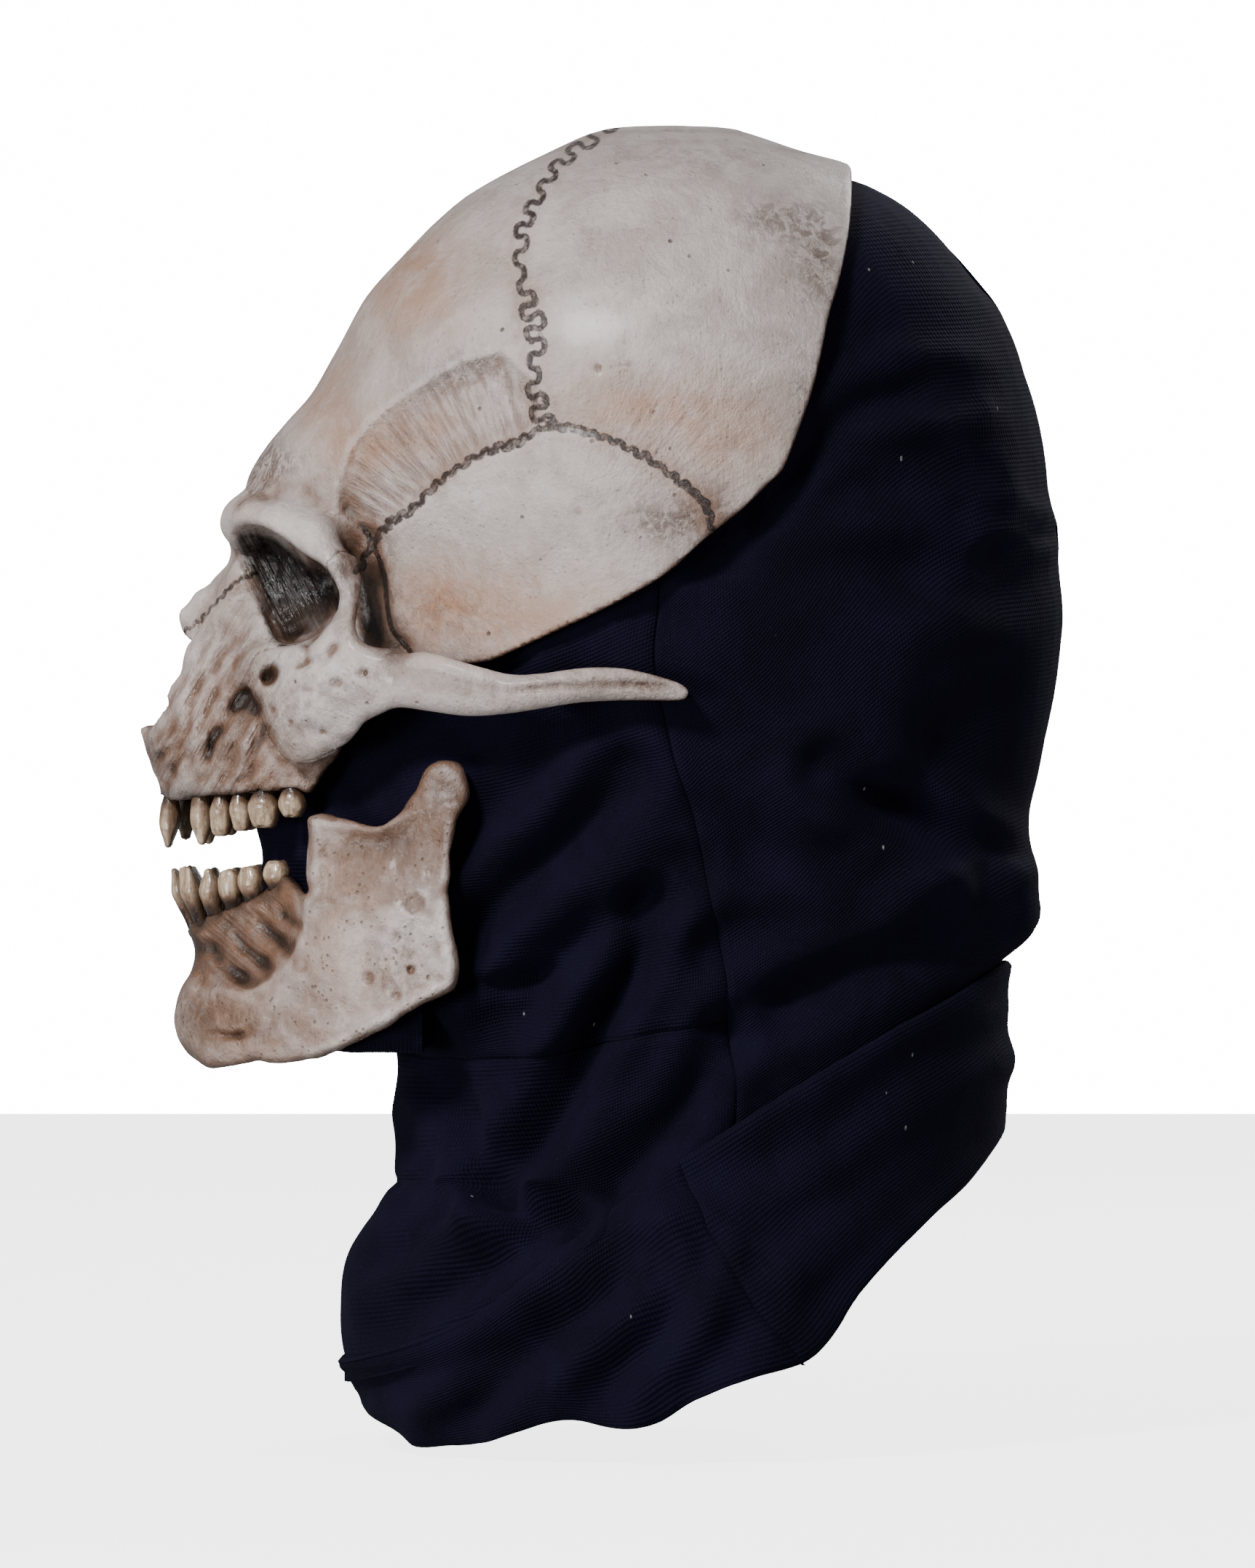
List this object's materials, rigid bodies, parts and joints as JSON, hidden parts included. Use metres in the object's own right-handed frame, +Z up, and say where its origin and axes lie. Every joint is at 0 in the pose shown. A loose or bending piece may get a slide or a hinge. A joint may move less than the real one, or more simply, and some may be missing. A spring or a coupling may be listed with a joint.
{
  "type": "latex halloween mask",
  "caption": "Painted latex skull mask: half-shell cranium with cheekbones and teeth, a swinging jaw, and the sewn knit hood that carries them and covers head and neck.",
  "frame": {"origin": "the middle of the head space, midway between the wearer's ears", "axes": "+Z up towards the crown, the face looks along -Y, +X towards the wearer's left"},
  "size_m": [0.183, 0.246, 0.3485],
  "materials": {
    "bone_latex": "matt painted foam-backed latex, wall cast solid here",
    "tooth_paint": "gloss varnish over yellowed paint",
    "rib_knit": "fine rib knit, matt"
  },
  "bodies": {
    "head": {"cheekbone_left": "bone_latex", "cheekbone_right": "bone_latex", "chin_gusset": "rib_knit", "cowl_back": "rib_knit", "cowl_front": "rib_knit", "hood_back_left": "rib_knit", "hood_back_right": "rib_knit", "hood_cheek_left": "rib_knit", "hood_cheek_right": "rib_knit", "mouth_panel": "rib_knit", "skull_shell": "bone_latex", "throat_panel": "rib_knit", "upper_canine_left": "tooth_paint", "upper_canine_right": "tooth_paint", "upper_incisor_left": "tooth_paint", "upper_incisor_right": "tooth_paint", "upper_molar_1_left": "tooth_paint", "upper_molar_1_right": "tooth_paint", "upper_molar_2_left": "tooth_paint", "upper_molar_2_right": "tooth_paint", "upper_premolar_1_left": "tooth_paint", "upper_premolar_1_right": "tooth_paint", "upper_premolar_2_left": "tooth_paint", "upper_premolar_2_right": "tooth_paint", "upper_side_incisor_right": "tooth_paint"},
    "jaw": {"chin_cup": "rib_knit", "jaw_shell": "bone_latex", "lower_canine_left": "tooth_paint", "lower_canine_right": "tooth_paint", "lower_incisor_left": "tooth_paint", "lower_incisor_right": "tooth_paint", "lower_molar_left": "tooth_paint", "lower_molar_right": "tooth_paint", "lower_premolar_1_left": "tooth_paint", "lower_premolar_1_right": "tooth_paint", "lower_premolar_2_left": "tooth_paint", "lower_premolar_2_right": "tooth_paint", "lower_side_incisor_left": "tooth_paint", "lower_side_incisor_right": "tooth_paint"}
  },
  "joints": [
    {"name": "jaw_hinge", "type": "hinge", "parent": "head", "child": "jaw", "pos_m": [0, -0.045, -0.042], "axis": [1, 0, 0], "range_deg": [-4, 12], "stiffness_Nm_per_rad": 1.5, "springref_deg": -1.43, "deforming": ["mouth_panel", "chin_gusset"]}
  ]
}
